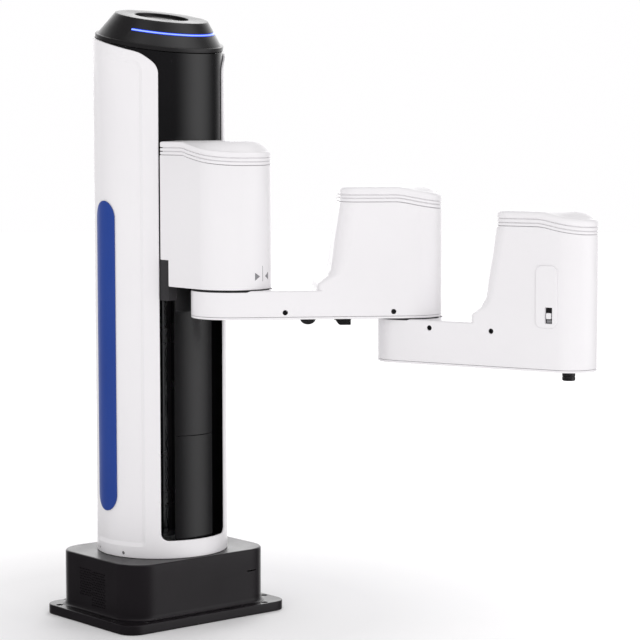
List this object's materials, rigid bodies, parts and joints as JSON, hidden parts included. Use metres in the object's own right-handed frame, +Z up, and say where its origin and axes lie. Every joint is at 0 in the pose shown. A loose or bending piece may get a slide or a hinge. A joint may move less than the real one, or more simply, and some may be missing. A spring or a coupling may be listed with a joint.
{
  "type": "scara robot arm",
  "caption": "Table-top white scara robot arm: dark base, round column with a lift carriage, two swinging arms with end towers and a turning spindle.",
  "frame": {"origin": "on the column's axis, at the underside of the base plate", "axes": "+Z up the column, +X the way the lift carriage faces, +Y to the robot's left"},
  "size_m": [0.5501, 0.3683, 0.7013],
  "materials": {
    "white_plastic": "satin",
    "dark_coating": "satin",
    "dark_sheet": "satin",
    "gloss_black": "gloss",
    "black_plastic": "satin",
    "blue_stripe": "satin",
    "blue_light": "gloss",
    "aluminium": "satin",
    "motor_black": "satin",
    "steel": "satin",
    "dark_metal": "satin",
    "black_rubber": "matte",
    "board_green": "satin"
  },
  "bodies": {
    "column": {"base_plate": "dark_coating", "base_housing": "dark_coating", "vent_grille_right": "dark_sheet", "vent_grille_left": "dark_sheet", "rear_panel": "aluminium", "power_inlet": "black_plastic", "io_connector": "board_green", "power_supply": "aluminium", "controller_board": "board_green", "fan_frame": "black_plastic", "column_shell": "white_plastic", "column_back": "white_plastic", "side_stripe_right": "blue_stripe", "side_stripe_left": "blue_stripe", "front_cover": "gloss_black", "slot_strip": "gloss_black", "column_backbone": "dark_metal", "z_rail_right": "steel", "z_rail_left": "steel", "screw_bearing_top": "aluminium", "screw_bearing_bottom": "aluminium", "z_motor": "motor_black", "top_cap": "black_plastic", "light_ring": "blue_light"},
    "fan": {"fan_rotor": "black_plastic"},
    "rocker": {"power_rocker": "black_plastic"},
    "screw": {"z_screw": "steel"},
    "carriage": {"carriage_housing": "white_plastic", "carriage_lid": "white_plastic", "carriage_frame": "dark_metal", "ball_nut": "steel", "rail_block_right": "steel", "rail_block_left": "steel", "shoulder_motor": "motor_black", "shoulder_reducer": "aluminium", "shoulder_seal": "black_rubber"},
    "rear_arm": {"rear_arm_housing": "white_plastic", "rear_arm_lid": "white_plastic", "rear_arm_base": "white_plastic", "elbow_motor": "motor_black", "elbow_reducer": "aluminium", "stop_bumper": "black_rubber", "cable_plug": "black_plastic", "rear_arm_screw_1": "steel", "rear_arm_screw_2": "steel", "rear_arm_screw_3": "steel", "rear_arm_screw_4": "steel"},
    "forearm": {"forearm_housing": "white_plastic", "forearm_lid": "white_plastic", "forearm_base": "white_plastic", "wrist_motor": "motor_black", "spindle_bearing": "steel", "button_panel": "white_plastic", "switch_body": "black_plastic", "forearm_screw_1": "steel", "forearm_screw_2": "steel", "forearm_screw_3": "steel", "forearm_screw_4": "steel"},
    "tool": {"tool_spindle": "black_plastic"},
    "button": {"teach_button": "white_plastic"}
  },
  "joints": [
    {"name": "z_slide", "type": "slide", "parent": "column", "child": "carriage", "axis": [0, 0, 1], "range_m": [-0.24, 0]},
    {"name": "z_screw_turn", "type": "hinge", "parent": "column", "child": "screw", "pos_m": [0.004, 0, 0.3], "axis": [0, 0, 1], "continuous": true},
    {"name": "shoulder", "type": "hinge", "parent": "carriage", "child": "rear_arm", "pos_m": [0.1329, 0, 0.386], "axis": [0, 0, 1], "range_deg": [-134.74, 25.26]},
    {"name": "elbow", "type": "hinge", "parent": "rear_arm", "child": "forearm", "pos_m": [0.24836, 0.16331, 0.353], "axis": [0, 0, 1], "range_deg": [-80.73, 155.27]},
    {"name": "tool_turn", "type": "hinge", "parent": "forearm", "child": "tool", "pos_m": [0.43913, 0.22335, 0.304], "axis": [0, 0, 1], "range_deg": [-360, 360]},
    {"name": "fan_spin", "type": "hinge", "parent": "column", "child": "fan", "pos_m": [0, 0.0905, 0.04], "axis": [0, 1, 0], "continuous": true},
    {"name": "power_rock", "type": "hinge", "parent": "column", "child": "rocker", "pos_m": [-0.071, -0.016, 0.04], "axis": [0, 1, 0], "range_deg": [0, 12]},
    {"name": "button_press", "type": "slide", "parent": "forearm", "child": "button", "axis": [-0.3221, 0.9467, 0], "range_m": [0, 0.0015], "stiffness_N_per_m": 800}
  ],
  "couplings": [
    {"joint": "z_screw_turn", "follows": "z_slide", "rad_per_m": -314.16}
  ]
}
